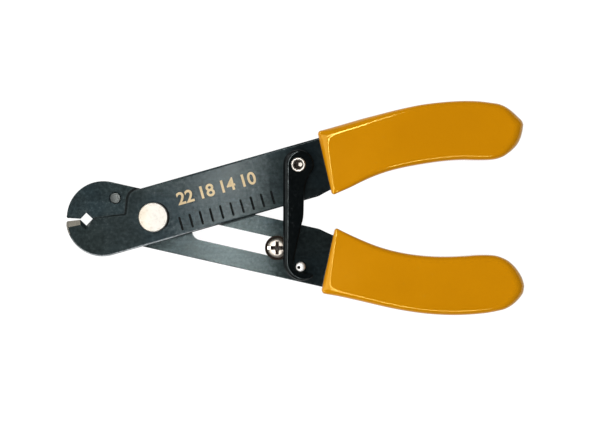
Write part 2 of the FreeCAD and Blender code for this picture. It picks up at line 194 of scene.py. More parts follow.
def black_oxide(name, rot, tone, along, sheen, rough, seed, worn=None, bare=None, groove_shade=None, speckle=1.0, pebble=0.35, tint=(0.86, 0.98, 1.0), rivet_shadow=None, lap_shadow=None):
    """Blackened steel: rolled streaks along the piece, cloudy and speckled finish, and a tone along x as along gives it
    (for the arms, darker at the jaws and much darker past the lever). worn = (direction, from x, to x, colour) rubs the
    edges that face that way and paints a highlight on them, with painted shade on their steepest part; bare = (x, y0,
    y1, steel) leaves ground steel on a bevel; cuts = (z, x) paints shade on the floors of stamped grooves; well =
    (radius, width, z) paints a dark crescent of shadow beside the rivet; lapped = z paints shadow where the other
    plate's edges lie, and painted shade dims the sheen on the strip beside them."""
    n = Nodes(name)
    pos = n.parts(n.coord.outputs["Object"])
    streak = n.noise(n.mapping(scale=(45, 1100, 300), rot=(0, 0, -rot), loc=(seed, 0, 0)), 1.0, 5, 0.6)
    cloud = n.noise(n.mapping(loc=(seed, seed, 0)), 120.0, 5, 0.6, 0.4)
    mottle = n.noise(n.mapping(loc=(seed, 0, seed)), 1000.0, 5, 0.7)
    grain = n.noise(n.mapping(), 3200.0, 3, 0.6)
    fac = n.math("ADD", n.math("MULTIPLY", streak, 0.20), n.math("ADD", n.math("MULTIPLY", cloud, 0.30), n.math("MULTIPLY", mottle, 0.50)))
    lo, hi = 1.0 - 0.34 * speckle, 1.0 + 0.40 * speckle
    col = n.ramp(fac, [(0.41, tuple(lo * c for c in tone)), (0.50, tone), (0.59, tuple(hi * c for c in tone))])
    hue = n.ramp(n.noise(n.mapping(loc=(0, seed, 3)), 60.0, 3, 0.5), [(0.35, (0.80, 0.97, 1.08)), (0.50, (0.95, 1.0, 1.0)), (0.65, (1.0, 1.02, 0.95))])
    col = n.mix(0.8, col, hue, "MULTIPLY")
    fade = n.ramp(n.span(pos[0], 0.0, 1.0, -0.03, 0.07), [((x + 30.0) / 100.0, (g, g, g)) for x, g in along])
    col = n.mix(1.0, col, fade, "MULTIPLY")
    # specks where the finish has gone through
    speck = n.math("MULTIPLY", n.span(mottle, 0.0, 1.0, 0.58, 0.70), n.span(cloud, 0.0, 1.0, 0.46, 0.62))
    speck = n.math("MULTIPLY", speck, n.span(pos[0], 0.30 * speckle, 0.04 * speckle, 0.034, 0.044))
    col = n.mix(speck, col, (0.090, 0.098, 0.100))
    nz = n.normal_z()
    # worn edges: the given colour rubs the edges that face that way and paints a highlight on them; painted shade
    # darkens their steepest part
    if worn is not None:
        way, x0, x1, shade = worn
        nv = n.parts(n.coord.outputs["Normal"])
        face = n.soft(nv[0] if way == "left" else nv[1], 1.0, 0.0, -0.75, -0.12)
        rest = n.soft(pos[0], 0.0, 1.0, 0.003, 0.009)
        face = n.math("MULTIPLY", face, n.soft(n.math("SUBTRACT", nz, n.math("MULTIPLY", rest, 0.22)), 0.0, 1.0, 0.30, 0.75))
        painted_edge_shade = n.math("MULTIPLY", n.soft(nv[0] if way == "left" else nv[1], 0.92, 0.0, -0.80, -0.45), rest)
        painted_edge_shade = n.math("MULTIPLY", painted_edge_shade, n.soft(pos[2], 0.0, 1.0, 0.0060, 0.0064))
        col = n.mix(painted_edge_shade, col, (0.0014, 0.0015, 0.0016))
        face = n.math("MULTIPLY", face, n.soft(pos[0], 1.0, 0.0, x0, x1))
        face = n.math("MULTIPLY", face, n.span(mottle, 0.45, 1.0, 0.36, 0.62))
        col = n.mix(face, col, shade)
    rough_out = n.math("ADD", n.span(n.math("ADD", n.math("MULTIPLY", mottle, 0.6), n.math("MULTIPLY", cloud, 0.4)), rough * 0.60, rough * 1.40, 0.38, 0.62), n.math("MULTIPLY", grain, 0.02))
    rough_out = n.math("MULTIPLY", rough_out, n.soft(pos[0], 1.0, 0.5, 0.027, 0.040))
    # painted shade on the floors of the stamped grooves, which are also rougher
    if groove_shade is not None:
        groove_floor_shade = n.math("MULTIPLY", n.soft(pos[2], 1.0, 0.0, groove_shade[0] - 0.00025, groove_shade[0] - 0.00010), n.soft(pos[0], 0.0, 1.0, groove_shade[1], groove_shade[1] + 0.001))
        groove_floor_shade = n.math("MULTIPLY", groove_floor_shade, n.soft(nz, 0.0, 1.0, 0.75, 0.92))
        groove_floor_shade = n.math("MULTIPLY", groove_floor_shade, n.soft(pos[2], 0.0, 1.0, groove_shade[0] - 0.0010, groove_shade[0] - 0.0008))
        col = n.mix(groove_floor_shade, col, (0.0012, 0.0013, 0.0014))
        rough_out = n.math("ADD", rough_out, n.math("MULTIPLY", groove_floor_shade, 0.5))
    # painted shadow: a dark crescent on the arm at the rivet head's right side, also rougher
    if rivet_shadow is not None:
        rr = n.math("SQRT", n.math("ADD", n.math("MULTIPLY", pos[0], pos[0]), n.math("MULTIPLY", pos[1], pos[1])))
        lee = n.math("MULTIPLY", n.soft(n.math("DIVIDE", n.math("ADD", pos[0], n.math("MULTIPLY", pos[1], 0.2)), rr), 0.0, 1.0, 0.15, 0.90), rivet_shadow[1])
        painted_rivet_shadow = n.soft(n.math("SUBTRACT", rr, lee), 1.0, 0.0, rivet_shadow[0], rivet_shadow[0] + 0.00016)
        painted_rivet_shadow = n.math("MULTIPLY", painted_rivet_shadow, n.soft(nz, 0.0, 1.0, 0.75, 0.92))
        painted_rivet_shadow = n.math("MULTIPLY", painted_rivet_shadow, n.soft(pos[2], 0.0, 1.0, rivet_shadow[2] - 0.0004, rivet_shadow[2] - 0.0002))
        col = n.mix(painted_rivet_shadow, col, (0.0008, 0.0009, 0.0010))
        rough_out = n.math("ADD", rough_out, n.math("MULTIPLY", painted_rivet_shadow, 0.6))
    # painted shadow: dark strips round the shoulder, along the jaw seam and under the front arm's lower edge, also
    # rougher
    if lap_shadow is not None:
        px, py = n.math("ADD", pos[0], 0.00775), n.math("SUBTRACT", pos[1], 0.00098175)
        up = n.math("ADD", n.math("MULTIPLY", px, 0.12892), n.math("MULTIPLY", py, 0.99165))
        out = n.math("ADD", n.math("MULTIPLY", px, -0.99165), n.math("MULTIPLY", py, 0.12892))
        cx, cy = n.math("SUBTRACT", px, SHOULDER[0]), n.math("SUBTRACT", py, SHOULDER[1])
        bend = n.math("SUBTRACT", n.math("SQRT", n.math("ADD", n.math("MULTIPLY", cx, cx), n.math("MULTIPLY", cy, cy))), 0.0032)
        high = n.math("GREATER_THAN", up, SHOULDER[2])
        gap = n.math("ADD", n.math("MULTIPLY", bend, high), n.math("MULTIPLY", out, n.math("SUBTRACT", 1.0, high)))
        line = n.math("MULTIPLY", n.soft(gap, 1.0, 0.0, 0.00065, 0.00100), n.soft(gap, 0.0, 1.0, -0.0005, -0.0002))
        line = n.math("MULTIPLY", n.math("MULTIPLY", line, n.soft(up, 0.0, 1.0, -0.0004, 0.0)), n.soft(pos[0], 1.0, 0.0, -0.0035, -0.0015))
        over = n.math("ADD", n.math("MULTIPLY", px, -0.08469), n.math("MULTIPLY", py, 0.99641))
        seam = n.math("MULTIPLY", n.soft(over, 1.0, 0.0, 0.00020, 0.00045), n.soft(pos[0], 0.45, 1.0, -0.0170, -0.0105))
        seam = n.math("MULTIPLY", seam, n.soft(over, 0.0, 1.0, -0.0005, -0.0002))
        seam = n.math("MULTIPLY", seam, n.soft(pos[0], 1.0, 0.0, -0.0080, -0.0074))
        line = n.math("MAXIMUM", line, n.math("MULTIPLY", seam, n.soft(pos[0], 0.0, 1.0, -0.0180, -0.0170)))
        under = n.math("SUBTRACT", n.math("SUBTRACT", n.math("MULTIPLY", pos[0], SA), n.math("MULTIPLY", pos[1], CA)), 0.0071)
        edge = n.math("MULTIPLY", n.soft(under, 0.40, 0.0, 0.00025, 0.00060), n.soft(under, 0.0, 1.0, -0.0005, -0.0002))
        edge = n.math("MULTIPLY", edge, n.math("MULTIPLY", n.soft(pos[0], 0.0, 1.0, -0.002, 0.004), n.soft(pos[0], 1.0, 0.0, 0.034, 0.038)))
        line = n.math("MAXIMUM", line, edge)
        line = n.math("MULTIPLY", line, n.soft(pos[2], 0.0, 1.0, lap_shadow - 0.0004, lap_shadow - 0.0002))
        col = n.mix(n.math("MULTIPLY", line, 0.92), col, (0.0016, 0.0017, 0.0016))
        rough_out = n.math("ADD", rough_out, n.math("MULTIPLY", line, 0.6))
    if bare is not None:
        x_edge, y0, y1, steel = bare
        tilt = n.math("MULTIPLY", n.soft(nz, 1.0, 0.0, 0.955, 0.992), n.soft(nz, 0.0, 1.0, 0.50, 0.70))
        zone = n.math("MULTIPLY", n.soft(pos[1], 0.0, 1.0, y0, y0 + 0.0003), n.soft(pos[1], 1.0, 0.0, y1 - 0.0003, y1))
        ground = n.math("MULTIPLY", n.math("MULTIPLY", tilt, zone), n.soft(pos[0], 1.0, 0.0, x_edge, x_edge + 0.0010))
        lines = n.noise(n.mapping(scale=(3000, 200, 200), rot=(0, 0, 0.5)), 1.0, 3, 0.6)
        col = n.mix(ground, col, n.ramp(lines, [(0.35, tuple(0.65 * c for c in steel)), (0.65, steel)]))
    n.set(Base_Color=col, Metallic=0.0, IOR=1.5, Specular_Tint=tint)
    patch = n.math("ADD", n.math("MULTIPLY", mottle, 0.65), n.math("MULTIPLY", grain, 0.35))
    gloss = n.span(patch, sheen * 0.60, sheen * 1.42, 0.39, 0.61)
    if lap_shadow is not None:
        # painted shade: the sheen is dimmed on the strip beside the other arm's edges
        gloss = n.math("MULTIPLY", gloss, n.soft(n.math("ADD", n.math("MULTIPLY", pos[0], SA), n.math("MULTIPLY", pos[1], CA)), 1.0, 0.80, -0.001, 0.0025))
    n.set(Specular_IOR_Level=gloss, Roughness=rough_out)
    h = n.math("ADD", n.math("MULTIPLY", streak, 0.3), n.math("ADD", n.math("MULTIPLY", grain, 0.25), n.math("MULTIPLY", mottle, 0.45)))
    n.set(Normal=n.bump(h, n.soft(pos[0], pebble, 0.25 * pebble, 0.026, 0.040), 0.00005))
    return n.mat


def bright_metal(name, base, rough, centre=None, seed=0.0, tarnish=(0.20, 0.17, 0.13), spin=2600.0, wear=0.35, stain=0.25,
                 recess_shade=None, dark=(0.020, 0.012, 0.008), unshaded_spot=None, side_tint_and_shade=None, slot=None):
    """Plated or ground steel, with turning marks about a centre where one is given, stained in places.
    hollow = (radius, z, z above) paints shade into a recess within that radius of the centre, up to those heights;
    spare = (x, y, radius) leaves a spot in it unshaded; warm = (x0, x1, colour) tints the side away from x1 with that
    colour, a yellower side on the rivet and painted shade on the jaw pin;
    slot = (half width, angle, floor z, colour) paints light on a driver slot's floor and shade along its borders."""
    n = Nodes(name)
    obj = n.parts(n.coord.outputs["Object"])
    cloud = n.noise(n.mapping(loc=(seed, 0, 0)), 420.0, 4, 0.6)
    spot = n.noise(n.mapping(loc=(seed, 3.0, 0)), 1500.0, 4, 0.65)
    grain = n.noise(n.mapping(loc=(0, seed, 0)), 5200.0, 2, 0.5)
    col = n.ramp(cloud, [(0.32, tuple(0.80 * c for c in base)), (0.60, base)])
    rub = n.math("MULTIPLY", n.side(), n.span(cloud, 0.3, 1.0, 0.35, 0.75))
    col = n.mix(n.math("MULTIPLY", rub, wear), col, tarnish)
    dirt = n.math("MULTIPLY", n.span(spot, 0.0, 1.0, 0.54, 0.76), stain)
    col = n.mix(dirt, col, tarnish)
    rough_out = n.math("ADD", n.span(cloud, rough * 0.85, rough * 1.2, 0.3, 0.7), n.math("MULTIPLY", dirt, 0.3))
    h = grain
    if centre is not None:
        p = n.parts(n.mapping(loc=(-centre[0], -centre[1], 0)))
        rr = n.math("SQRT", n.math("ADD", n.math("MULTIPLY", p[0], p[0]), n.math("MULTIPLY", p[1], p[1])))
        ring = n.new("ShaderNodeTexNoise", noise_dimensions="1D")
        ring.inputs["Scale"].default_value = spin
        ring.inputs["Detail"].default_value = 3
        n.link(rr, ring.inputs["W"])
        h = n.math("ADD", n.math("MULTIPLY", grain, 0.4), n.math("MULTIPLY", ring.outputs["Fac"], 0.8))
        # the side away from x1 takes the given colour, a yellower side on the rivet and painted shade on the jaw pin's
        # left side; a tarnished ring runs round the centre
        if side_tint_and_shade is not None:
            col = n.mix(n.math("MULTIPLY", n.soft(p[0], 0.8, 0.0, side_tint_and_shade[0], side_tint_and_shade[1]), n.span(cloud, 0.5, 1.0, 0.35, 0.65)), col, side_tint_and_shade[2])
            groove = n.math("MULTIPLY", n.soft(rr, 0.0, 1.0, 0.00335, 0.00350), n.soft(rr, 1.0, 0.0, 0.00350, 0.00368))
            col = n.mix(n.math("MULTIPLY", groove, n.span(spot, 0.0, 0.7, 0.45, 0.65)), col, tarnish)
        # painted light on the driver slot's floor and painted shade along its borders
        if slot is not None:
            across = n.math("ABSOLUTE", n.math("SUBTRACT", n.math("MULTIPLY", p[1], math.cos(slot[1])), n.math("MULTIPLY", p[0], math.sin(slot[1]))))
            above = n.soft(obj[2], 0.0, 1.0, slot[2] + 0.00004, slot[2] + 0.00010)
            painted_slot_edge_shade = n.math("MULTIPLY", n.soft(across, 1.0, 0.0, slot[0] + 0.00008, slot[0] + 0.00020), above)
            col = n.mix(n.math("MULTIPLY", painted_slot_edge_shade, n.span(spot, 0.55, 1.0, 0.35, 0.6)), col, (0.030, 0.018, 0.012))
            painted_slot_light = n.math("MULTIPLY", n.soft(across, 1.0, 0.0, slot[0] - 0.00004, slot[0]), n.math("SUBTRACT", 1.0, above))
            col = n.mix(painted_slot_light, col, slot[3])
        # painted shade in a recess up to the given heights, left off the unshaded spot where one is given
        if recess_shade is not None:
            rad, z_low, z_high = recess_shade
            painted_recess_shade = n.math("MULTIPLY", n.soft(rr, 1.0, 0.0, rad - 0.00006, rad), n.soft(obj[2], 1.0, 0.0, z_low, z_high))
            painted_recess_shade = n.math("MULTIPLY", painted_recess_shade, n.soft(obj[2], 0.0, 1.0, 0.0056, 0.0058))
            painted_recess_shade = n.math("MULTIPLY", painted_recess_shade, n.span(spot, 0.85, 1.0, 0.35, 0.6))
            if unshaded_spot is not None:
                qx, qy = n.math("SUBTRACT", p[0], unshaded_spot[0]), n.math("SUBTRACT", p[1], unshaded_spot[1])
                qr = n.math("SQRT", n.math("ADD", n.math("MULTIPLY", qx, qx), n.math("MULTIPLY", qy, qy)))
                painted_recess_shade = n.math("MULTIPLY", painted_recess_shade, n.soft(qr, 0.0, 1.0, unshaded_spot[2] * 0.75, unshaded_spot[2] * 1.15))
            col = n.mix(painted_recess_shade, col, dark)
            rough_out = n.math("ADD", rough_out, n.math("MULTIPLY", painted_recess_shade, 0.4))
    n.set(Base_Color=col, Metallic=1.0, IOR=1.5)
    n.set(Roughness=rough_out)
    nb = n.bump(h, 0.14, 0.00003)
    n.set(Normal=n.bump(spot, -0.08, 0.00004, nb))
    return n.mat


def dipped_vinyl(name, seed):
    """Glossy plastisol: even deep yellow, slightly darker where it ran thin, soft orange peel, a few dust specks."""
    n = Nodes(name)
    wide = n.noise(n.mapping(loc=(seed, 0, 0)), 55.0, 3, 0.5)
    fine = n.noise(n.mapping(loc=(0, seed, 0)), 900.0, 4, 0.6)
    col = n.ramp(wide, [(0.30, (0.400, 0.158, 0.0002)), (0.52, (0.417, 0.166, 0.0002)), (0.72, (0.435, 0.174, 0.0003))])
    col = n.mix(n.math("MULTIPLY", n.span(fine, 0.0, 1.0, 0.45, 0.75), 0.10), col, (0.349, 0.127, 0.0003))
    dust = n.new("ShaderNodeTexVoronoi")
    dust.inputs["Scale"].default_value = 420.0
    n.link(n.mapping(loc=(seed, seed, seed)), dust.inputs["Vector"])
    speck = n.span(dust.outputs["Distance"], 1.0, 0.0, 0.02, 0.06)
    col = n.mix(n.math("MULTIPLY", speck, 0.22), col, (0.26, 0.10, 0.001))
    n.set(Base_Color=col, Metallic=0.0, IOR=1.5)
    n.set(Roughness=n.math("ADD", n.span(wide, 0.065, 0.095, 0.3, 0.7), n.math("MULTIPLY", speck, 0.2)))
    n.set(Specular_IOR_Level=0.70, Specular_Tint=(1.0, 0.84, 0.22))
    peel = n.noise(n.mapping(), 480.0, 2, 0.4)
    h = n.math("ADD", n.math("MULTIPLY", peel, 0.7), n.math("MULTIPLY", fine, 0.25))
    nb = n.bump(h, 0.035, 0.00012)
    n.set(Normal=n.bump(speck, 0.3, 0.00004, nb))
    return n.mat


def print_ink(name):
    """Pad-printed pale gold ink, a little worn."""
    n = Nodes(name)
    patch = n.noise(n.mapping(), 1400.0, 5, 0.65)
    wide = n.noise(n.mapping(), 160.0, 3, 0.5)
    col = n.ramp(wide, [(0.3, (0.34, 0.255, 0.135)), (0.7, (0.44, 0.345, 0.195))])
    n.set(Base_Color=n.mix(n.span(patch, 0.0, 0.65, 0.58, 0.78), col, (0.10, 0.09, 0.07)), Metallic=0.25, IOR=1.5)
    n.set(Roughness=n.span(patch, 0.38, 0.6, 0.3, 0.7))
    n.set(Normal=n.bump(patch, 0.2, 0.00003))
    return n.mat


def floor_paper(name):
    n = Nodes(name)
    tooth = n.noise(n.mapping(), 700.0, 4, 0.6)
    col = n.ramp(tooth, [(0.3, (0.085, 0.085, 0.0845)), (0.7, (0.10, 0.10, 0.0995))])
    n.set(Base_Color=col, Metallic=0.0, IOR=1.4)
    n.set(Roughness=n.span(tooth, 0.85, 0.95, 0.3, 0.7))
    n.set(Normal=n.bump(tooth, 0.05, 0.0001))
    n.set(Emission_Color=(1.0, 1.0, 1.0), Emission_Strength=0.97)
    return n.mat


STOP = (0.034775, -0.009685)
EYE = (41.46, 13.70)
JAW = (-10.94, 5.78)
PIT = (0.04128 - 0.00052, -0.01521 - 0.00008)
# middle of the shoulder's round and start of it, from the foot of the shoulder, in metres
SHOULDER = (0.003724, 0.003823, 0.004271)
# tone along the arms by x in millimetres: darker at the jaws and much darker past the lever
ALONG_TONE = [(-26, 0.66), (-8, 0.84), (4, 1.05), (30, 1.05), (36, 0.82), (42, 0.34), (54, 0.24)]
# front arm: painted highlight and painted shade on its lower edges, painted shade in the grooves and beside the rivet
M_FRONT = black_oxide("front_arm_oxide", ARM, (0.0195, 0.0270, 0.0290), ALONG_TONE, 0.086, 0.10, 0.0, speckle=0.75,
                      worn=("down", 0.010, 0.022, (0.46, 0.49, 0.51)), bare=(-0.0206, -0.0042, 0.0012, (0.20, 0.185, 0.155)), groove_shade=(0.0072, 0.002), rivet_shadow=(0.00410, 0.00036, 0.0072))
# back arm: painted shadow where the front arm's edges lie, and painted shade dimming the sheen beside them
M_BACK = black_oxide("back_arm_oxide", -ARM, (0.0215, 0.0300, 0.0318), ALONG_TONE, 0.165, 0.10, 1.7, speckle=1.0, pebble=0.50, lap_shadow=0.00495, tint=(0.80, 0.98, 1.0))
M_LEVER = black_oxide("lever_black", math.radians(88), (0.0016, 0.0022, 0.0024), [(0, 1.0), (60, 1.0)], 0.13, 0.075, 3.1, speckle=0.6, pebble=0.05)
M_RIVET = bright_metal("rivet_steel", (0.425, 0.410, 0.380), 0.46, (0.0, 0.0), 0.4, tarnish=(0.27, 0.22, 0.16), wear=0.1, stain=0.40,
                       side_tint_and_shade=(-0.0030, 0.0004, (0.42, 0.375, 0.30)))
M_NICKEL = bright_metal("nickel_plate", (0.52, 0.49, 0.45), 0.30, None, 2.2, stain=0.10)
# eyelet: painted shade in its bore, with an unshaded spot on the lit side
M_EYELET = bright_metal("eyelet_nickel", (0.52, 0.485, 0.44), 0.34, (EYE[0] * MM, EYE[1] * MM), 2.9, wear=0.15, stain=0.08,
                        recess_shade=(0.00134, 0.0073, 0.0086), dark=(0.016, 0.007, 0.004), unshaded_spot=(0.00055, 0.00012, 0.00058))
# lock pin: painted shade in its pit
M_PIN = bright_metal("lock_pin_nickel", (0.88, 0.87, 0.85), 0.52, PIT, 3.4, wear=0.10, stain=0.05,
                     recess_shade=(0.00050, 0.020, 0.021), dark=(0.003, 0.003, 0.003))
# stop screw: painted light and shade at its slot, painted shade in its cross recess
M_SCREW = bright_metal("screw_nickel", (0.44, 0.40, 0.35), 0.30, STOP, 5.1, tarnish=(0.12, 0.085, 0.06), spin=3000.0, wear=0.15, stain=0.5,
                       slot=(0.00046, math.radians(-2), 0.00623, (0.80, 0.78, 0.74)),
                       recess_shade=(0.00200, 0.00596, 0.00612), dark=(0.016, 0.008, 0.005))
# near-black washer under the stop screw's head
M_WASHER = bright_metal("dark_washer_steel", (0.0075, 0.0055, 0.0042), 0.34, STOP, 6.0, tarnish=(0.004, 0.003, 0.0025), spin=2400.0)
# jaw pin: painted shade on its left side
M_PINS = bright_metal("ground_steel", (0.070, 0.076, 0.074), 0.36, (JAW[0] * MM, JAW[1] * MM), 7.3, tarnish=(0.03, 0.03, 0.029), spin=2800.0, side_tint_and_shade=(-0.0012, 0.0007, (0.022, 0.025, 0.025)))
M_BUSH = bright_metal("bush_steel", (0.45, 0.45, 0.44), 0.30, STOP, 8.8)
M_WIRE = bright_metal("spring_wire", (0.46, 0.46, 0.47), 0.26, None, 9.9)
M_GRIP_U = dipped_vinyl("upper_vinyl", 0.0)
M_GRIP_L = dipped_vinyl("lower_vinyl", 4.7)
M_INK = print_ink("gold_ink")


def dress(node, mat, angle=28):
    o = NODES[node]
    o.data.materials.clear()
    o.data.materials.append(mat)
    for p in o.data.polygons:
        p.material_index = 0
        p.use_smooth = True
    o.data.set_sharp_from_angle(angle=math.radians(angle))
    return o


dress("front_arm", M_FRONT)
dress("back_arm", M_BACK)
dress("lock_lever", M_LEVER)
dress("pivot_rivet", M_RIVET)
dress("pivot_washer", M_NICKEL)
dress("lever_rivet", M_EYELET)
dress("lever_spacer_washer", M_BUSH)
dress("lock_pin", M_PIN)
dress("jaw_pin", M_PINS)
dress("stop_screw", M_SCREW)
dress("stop_front_washer", M_WASHER)
dress("stop_bush", M_BUSH)
dress("stop_back_washer", M_NICKEL)
dress("stop_nut", M_NICKEL)
dress("upper_grip", M_GRIP_U)
dress("lower_grip", M_GRIP_L)
dress("return_spring", M_WIRE)


def add_mesh(name, verts, faces, mat, smooth_angle=40):
    me = bpy.data.meshes.new(name)
    me.from_pydata([tuple(c * MM for c in p) for p in verts], [], faces)
    me.update()
    bm = bmesh.new()
    bm.from_mesh(me)
    bmesh.ops.remove_doubles(bm, verts=bm.verts, dist=1e-7)
    bmesh.ops.recalc_face_normals(bm, faces=bm.faces)
    bm.to_mesh(me)
    bm.free()
    for p in me.polygons:
        p.use_smooth = True
    me.set_sharp_from_angle(angle=math.radians(smooth_angle))
    me.materials.append(mat)
    o = bpy.data.objects.new(name, me)
    bpy.context.scene.collection.objects.link(o)
    return o


# --------------------------------------------------------------------------
# grips: dipped vinyl sleeves, lofted between their outer and inner lines
# --------------------------------------------------------------------------
UPPER_OUT = [(47.05, 22.95), (51.73, 24.15), (55.80, 25.20), (59.87, 26.25), (63.94, 27.17), (68.03, 28.10), (72.15, 28.93),
             (76.29, 29.63), (80.45, 30.08), (84.64, 30.35), (88.84, 30.42), (93.03, 30.20), (97.19, 29.57), (98.54, 29.30),
             (100.31, 28.55), (102.20, 27.25), (103.83, 25.75), (105.05, 24.50), (105.52, 23.35)]
UPPER_IN = [(50.75, 4.80), (55.68, 6.75), (59.48, 8.48), (63.33, 10.02), (67.33, 11.24), (71.43, 12.13), (75.59, 12.78),
            (79.77, 13.31), (83.97, 13.67), (88.16, 13.77), (92.36, 13.58), (96.55, 13.61), (99.10, 14.25), (100.59, 15.10),
            (102.15, 16.25), (103.65, 17.80), (104.62, 19.60), (105.20, 21.50), (105.52, 23.35)]
LOWER_OUT = [(46.85, 22.62), (48.29, 23.05), (52.41, 23.96), (56.48, 24.97), (60.54, 26.04), (64.61, 27.11), (68.69, 28.07),
             (72.82, 28.87), (76.97, 29.49), (81.15, 29.88), (85.35, 30.05), (89.55, 29.97), (93.73, 29.66), (97.87, 28.95),
             (99.38, 28.42), (100.79, 27.68), (102.08, 26.73), (103.21, 25.60), (104.10, 24.28), (104.48, 22.61)]
LOWER_IN = [(51.30, 4.35), (55.19, 6.34), (58.97, 8.16), (62.83, 9.82), (66.81, 11.16), (70.89, 12.17), (75.03, 12.87),
            (79.20, 13.30), (83.40, 13.46), (87.59, 13.40), (91.79, 13.23), (95.97, 13.44), (98.20, 14.12), (99.87, 15.00),
            (101.15, 16.05), (102.27, 17.28), (103.21, 18.65), (103.94, 20.12), (104.39, 21.69), (104.48, 22.61)]


def curve_points(pts, n, pack):
    """n points along a smooth curve through pts, placed by pack(0..1) -> 0..1 of its length."""
    P = [Vector((*p, 0)) for p in pts]
    P = [P[0] * 2 - P[1]] + P + [P[-1] * 2 - P[-2]]
    dense = []
    for i in range(1, len(P) - 2):
        p0, p1, p2, p3 = P[i - 1:i + 3]
        for k in range(24):
            t = k / 24
            dense.append(0.5 * ((2 * p1) + (p2 - p0) * t + (2 * p0 - 5 * p1 + 4 * p2 - p3) * t * t + (3 * p1 - p0 - 3 * p2 + p3) * t ** 3))
    dense.append(P[-2])
    xy = np.array([(p.x, p.y) for p in dense])
    run = np.concatenate([[0.0], np.cumsum(np.hypot(*np.diff(xy, axis=0).T))])
    want = np.array([pack(i / (n - 1)) for i in range(n)]) * run[-1]
    return np.stack([np.interp(want, run, xy[:, 0]), np.interp(want, run, xy[:, 1])], axis=1)


def end_pack(t):
    """Steps that are fine at the mouth and at the tip of a grip."""
    return t - 0.93 * math.sin(2 * math.pi * t) / (2 * math.pi)


def edge_fall(points, rim, rad, blend=0.7, side=None, ease=0.9):
    """Distance of each point from a closed outline, and how far the face has fallen there,
    on a radius that changes along the outline. side numbers the outline's sides: where two of them meet,
    the border of the flat face turns the corner in a curve."""
    seg = np.roll(rim, -1, axis=0) - rim
    size = np.maximum(1e-12, (seg ** 2).sum(1))
    rel = points[:, None, :] - rim[None, :, :]
    t = np.clip((rel * seg[None]).sum(2) / size[None], 0, 1)
    gap = np.hypot(*np.moveaxis(rel - t[:, :, None] * seg[None], 2, 0))
    d = gap.min(1)
    if side is not None:
        each = np.stack([gap[:, side == k].min(1) for k in range(side.max() + 1)], axis=1)
        low = each.min(1)
        round_in = low - ease * np.log(np.exp(-(each - low[:, None]) / ease).sum(1))
        grow = np.clip(low / 1.3, 0, 1)
        grow = grow * grow * (3 - 2 * grow)
        d = low + grow * (np.maximum(round_in, 0.0) - low)
        gap = np.maximum(gap, d[:, None])
    w = np.exp(-(gap - d[:, None]) / blend)
    R = (w * rad[None]).sum(1) / w.sum(1)
    return d, np.where(d < R, R - np.sqrt(np.maximum(0.0, R ** 2 - (R - d) ** 2)), 0.0)


def make_grip(name, outer, inner, r_out, r_in, r_mouth, mirror, mat, seed):
    """Sleeve with a flat-sided section: its faces fall off towards the outline on a radius that changes along it."""
    n, m = 150, 64
    O = curve_points(outer, n, end_pack)
    I = curve_points(inner, n, end_pack)
    half, corner = 4.96, 0.9
    # across each station: fine steps near both edges
    q = np.linspace(0, 1, m)
    v = q - 0.90 * np.sin(2 * np.pi * q) / (2 * np.pi)
    xy = I[:, None, :] * (1 - v)[None, :, None] + O[:, None, :] * v[None, :, None]
    # round the mouth's two corners in plan
    width = np.hypot(*(O[0] - I[0]))
    ahead = (O[12] + I[12]) * 0.5 - (O[0] + I[0]) * 0.5
    ahead /= np.hypot(*ahead)
    from_end = np.minimum(v, 1 - v) * width
    back = np.where(from_end < corner, corner - np.sqrt(np.maximum(0, corner ** 2 - (corner - from_end) ** 2)), 0.0)
    mid = 0.5 * (O + I)
    run = np.concatenate([[0.0], np.cumsum(np.hypot(*np.diff(mid, axis=0).T))])
    xy = xy + (back[None, :] * np.exp(-run / 1.6)[:, None])[:, :, None] * ahead
    # outline, with the edge radius at each of its points
    rim = np.concatenate([xy[:, -1], xy[::-1, 0], xy[0, 1:-1]])
    tip = 1 / (1 + np.exp(-(rim[:, 0] - (outer[-1][0] - 3.2)) / 0.9))
    rad = np.concatenate([
        np.interp(xy[:, -1, 0], *zip(*r_out)),
        np.interp(xy[::-1, 0, 0], *zip(*r_in)),
        r_mouth[0] + (r_mouth[1] - r_mouth[0]) * v[1:-1] ** 0.8])
    rad = rad * (1 - tip) + 3.0 * tip
    side = np.concatenate([np.zeros(2 * n, int), np.ones(m - 2, int)])
    d, fall = edge_fall(xy.reshape(-1, 2), rim, rad, side=side)
    z = (half - fall).reshape(n, m)
    verts, faces = [], []
    for i in range(n):
        for j in range(m):
            x, y = xy[i, j]
            swell = 0.035 * noise.noise(Vector((x * 0.11 + seed, y * 0.11, 0.3)))
            verts.append((x, y, z[i, j] + swell))
    count = n * m
    verts += [(x, y, -zz) for x, y, zz in verts]
    for i in range(n - 1):
        for j in range(m - 1):
            a, b, c, e = i * m + j, i * m + j + 1, (i + 1) * m + j + 1, (i + 1) * m + j
            faces.append((a, b, c, e))
            faces.append((a + count, e + count, c + count, b + count))
    # wall between the two faces, in four rows
    loop = [i * m + m - 1 for i in range(n)] + [i * m for i in range(n - 2, -1, -1)] + list(range(1, m - 1))
    rows = [loop]
    for k in (0.25, 0.5, 0.75):
        base = len(verts)
        for a in loop:
            x, y, zz = verts[a]
            verts.append((x, y, zz * (1 - 2 * k)))
        rows.append(list(range(base, base + len(loop))))
    rows.append([a + count for a in loop])
    for r0, r1 in zip(rows, rows[1:]):
        for k in range(len(loop)):
            k2 = (k + 1) % len(loop)
            faces.append((r0[k], r1[k], r1[k2], r0[k2]))
    sgn = -1 if mirror else 1
    verts = [(float(x), sgn * float(y), Z_MID + sgn * float(zz)) for x, y, zz in verts]
    return add_mesh(name, verts, faces, mat, 60)


